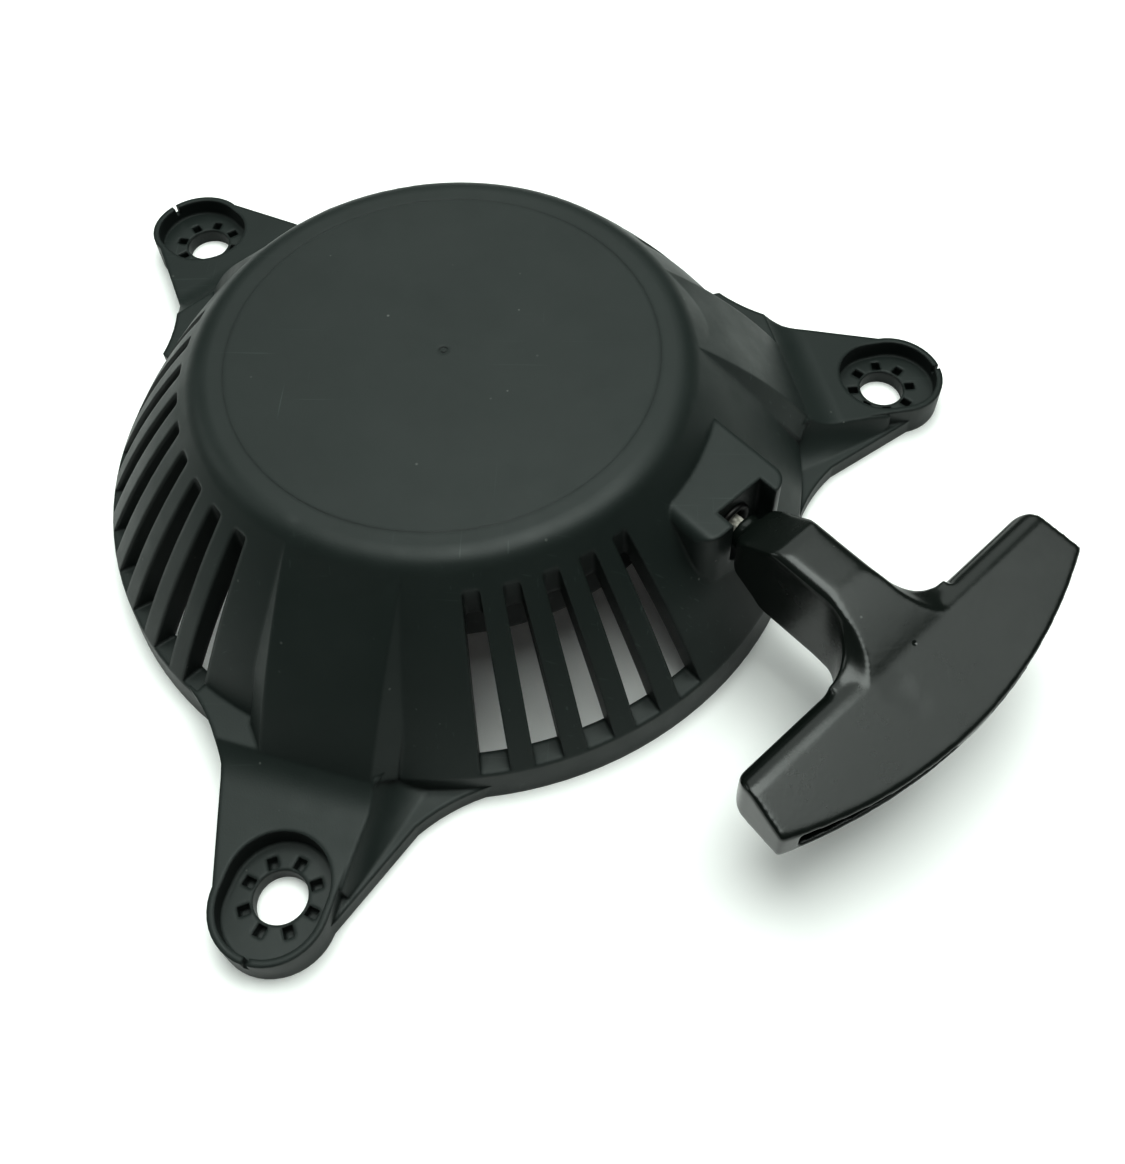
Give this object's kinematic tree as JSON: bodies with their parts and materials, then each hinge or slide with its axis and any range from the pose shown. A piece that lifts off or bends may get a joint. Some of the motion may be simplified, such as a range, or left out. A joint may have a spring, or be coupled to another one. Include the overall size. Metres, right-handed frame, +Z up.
{
  "type": "recoil starter",
  "caption": "Pull starter for a small engine: louvred round cover with stud legs, sprung rope reel, engaging pawls and a T-shaped pull handle on a braided rope.",
  "frame": {"origin": "centre of the plane on which the cover's rim and feet stand, on the crankshaft's axis", "axes": "+Z up, away from the engine, along the crankshaft and reel axis; -Y towards the leg that stands left of the handle when the cover is seen from above with the handle at the lower right"},
  "size_m": [0.2384, 0.2241, 0.052],
  "materials": {
    "cover_plastic": "satin moulded charcoal",
    "grip_plastic": "polished black moulding",
    "reel_plastic": "natural glass-filled nylon",
    "guide_plastic": "satin black nylon",
    "pawl_steel": "sintered steel",
    "spring_steel": "oiled tempered spring steel",
    "zinc_steel": "zinc plated",
    "insert_brass": "machined",
    "rope_cord": "braided nylon cord"
  },
  "bodies": {
    "cover": {"housing": "cover_plastic", "rope_eyelet": "zinc_steel", "hub_insert": "insert_brass", "centre_screw": "zinc_steel", "screw_washer": "zinc_steel", "screw_collar": "zinc_steel", "reel_retainer": "zinc_steel", "friction_spring": "spring_steel", "mainspring": "spring_steel", "rope_run": "rope_cord"},
    "reel": {"reel": "reel_plastic", "rope_winding": "rope_cord", "reel_knot": "rope_cord", "pawl_pins": "zinc_steel", "pawl_springs": "spring_steel"},
    "guide": {"pawl_guide": "guide_plastic"},
    "pawl_1": {"pawl_1": "pawl_steel"},
    "pawl_2": {"pawl_2": "pawl_steel"},
    "handle": {"handle_grip": "grip_plastic", "rope_tail": "rope_cord", "handle_knot": "rope_cord"}
  },
  "joints": [
    {"name": "reel_spin", "type": "hinge", "parent": "cover", "child": "reel", "pos_m": [0, 0, 0.036], "axis": [0, 0, -1], "range_deg": [0, 1690], "stiffness_Nm_per_rad": 0.012, "springref_deg": -687.55, "deforming": ["mainspring"]},
    {"name": "handle_pull", "type": "slide", "parent": "cover", "child": "handle", "axis": [0.6959, -0.7181, 0], "range_m": [0, 0.9508], "deforming": ["rope_run"]},
    {"name": "guide_turn", "type": "hinge", "parent": "reel", "child": "guide", "pos_m": [0, 0, 0.018], "axis": [0, 0, 1], "range_deg": [0, 24]},
    {"name": "pawl_1_swing", "type": "hinge", "parent": "reel", "child": "pawl_1", "pos_m": [0.024, 0, 0.025], "axis": [0, 0, 1], "range_deg": [0, 40.2]},
    {"name": "pawl_2_swing", "type": "hinge", "parent": "reel", "child": "pawl_2", "pos_m": [-0.024, 0, 0.025], "axis": [0, 0, 1], "range_deg": [0, 40.2]}
  ],
  "couplings": [
    {"joint": "handle_pull", "follows": "reel_spin", "m_per_rad": 0.0322},
    {"joint": "pawl_1_swing", "follows": "guide_turn", "ratio": 1.6667},
    {"joint": "pawl_2_swing", "follows": "guide_turn", "ratio": 1.6667}
  ]
}
